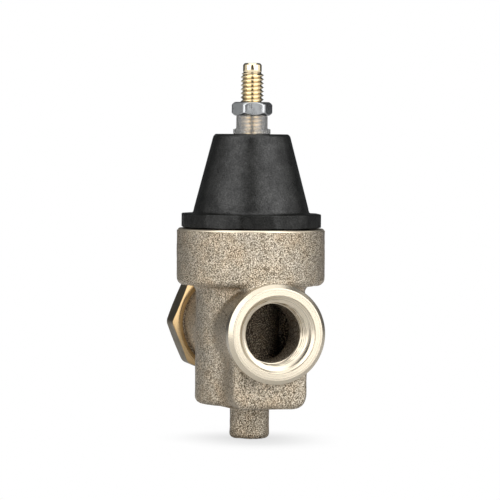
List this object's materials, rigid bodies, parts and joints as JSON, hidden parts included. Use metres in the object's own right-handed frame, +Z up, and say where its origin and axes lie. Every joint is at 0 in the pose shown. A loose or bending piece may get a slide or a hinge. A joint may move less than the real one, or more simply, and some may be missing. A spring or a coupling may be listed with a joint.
{
  "type": "water pressure regulator",
  "caption": "Direct-acting water pressure regulator: cast bronze body with threaded outlet and union inlet, black bonnet, adjusting screw and lock nut.",
  "frame": {"origin": "centre of the flat end of the bottom boss", "axes": "+Z up the valve axis to the adjusting screw, +X along the flow axis out of the outlet port"},
  "size_m": [0.0899, 0.0516, 0.1308],
  "materials": {
    "cast_bronze": "sand-cast bronze, rough skin with machined faces and ports",
    "black_moulding": "black glass-filled plastic, semi-matt",
    "bright_brass": "rolled and turned brass",
    "zinc_plate": "bright zinc plate",
    "clear_nylon": "milky translucent nylon",
    "spring_steel": "oiled spring steel wire",
    "acetal": "natural acetal",
    "black_rubber": "fabric-reinforced black rubber",
    "turned_brass": "turned brass",
    "stainless": "stainless steel",
    "forged_brass": "forged brass, dull flats and a turned face",
    "fibre": "red-brown fibre"
  },
  "bodies": {
    "valve_body": {"body_casting": "cast_bronze", "bonnet": "black_moulding", "slip_ring": "acetal", "diaphragm": "black_rubber", "seat_module": "turned_brass", "module_o_ring_upper": "black_rubber", "module_o_ring_lower": "black_rubber", "closing_spring": "stainless", "strainer_screen": "stainless"},
    "spring_button": {"spring_button": "zinc_plate"},
    "adjusting_screw": {"adjusting_screw": "bright_brass"},
    "sealing_sleeve": {"sealing_sleeve": "clear_nylon"},
    "lock_nut": {"lock_nut": "zinc_plate"},
    "stem": {"valve_stem": "turned_brass", "disc_holder": "turned_brass", "seat_disc": "black_rubber", "disc_retainer": "turned_brass", "stem_nut": "turned_brass", "diaphragm_plate": "zinc_plate", "diaphragm_washer": "turned_brass", "range_spring": "spring_steel"},
    "union_tailpiece": {"union_tailpiece": "forged_brass", "union_gasket": "fibre"},
    "union_nut": {"union_nut": "forged_brass"}
  },
  "joints": [
    {"name": "screw_feed", "type": "slide", "parent": "valve_body", "child": "spring_button", "axis": [0, 0, 1], "range_m": [-0.00846, 0], "deforming": ["range_spring"]},
    {"name": "screw_turn", "type": "hinge", "parent": "spring_button", "child": "adjusting_screw", "pos_m": [0, 0, 0.0998], "axis": [0, 0, 1], "range_deg": [-2160, 0]},
    {"name": "sleeve_lift", "type": "slide", "parent": "valve_body", "child": "sealing_sleeve", "axis": [0, 0, 1], "range_m": [0, 0.00282]},
    {"name": "lock_nut_turn", "type": "hinge", "parent": "sealing_sleeve", "child": "lock_nut", "pos_m": [0, 0, 0.1125], "axis": [0, 0, 1], "range_deg": [0, 720]},
    {"name": "stem_lift", "type": "slide", "parent": "valve_body", "child": "stem", "axis": [0, 0, 1], "range_m": [-0.002, 0], "deforming": ["closing_spring", "diaphragm"]},
    {"name": "union_pull", "type": "slide", "parent": "valve_body", "child": "union_tailpiece", "axis": [-1, 0, 0], "range_m": [0, 0.00907]},
    {"name": "union_nut_turn", "type": "hinge", "parent": "union_tailpiece", "child": "union_nut", "pos_m": [-0.0354, 0, 0.0384], "axis": [-1, 0, 0], "range_deg": [0, 1800]}
  ],
  "couplings": [
    {"joint": "screw_turn", "follows": "screw_feed", "rad_per_m": 4452.7},
    {"joint": "lock_nut_turn", "follows": "sleeve_lift", "rad_per_m": 4452.7},
    {"joint": "union_nut_turn", "follows": "union_pull", "rad_per_m": 3463.2}
  ]
}
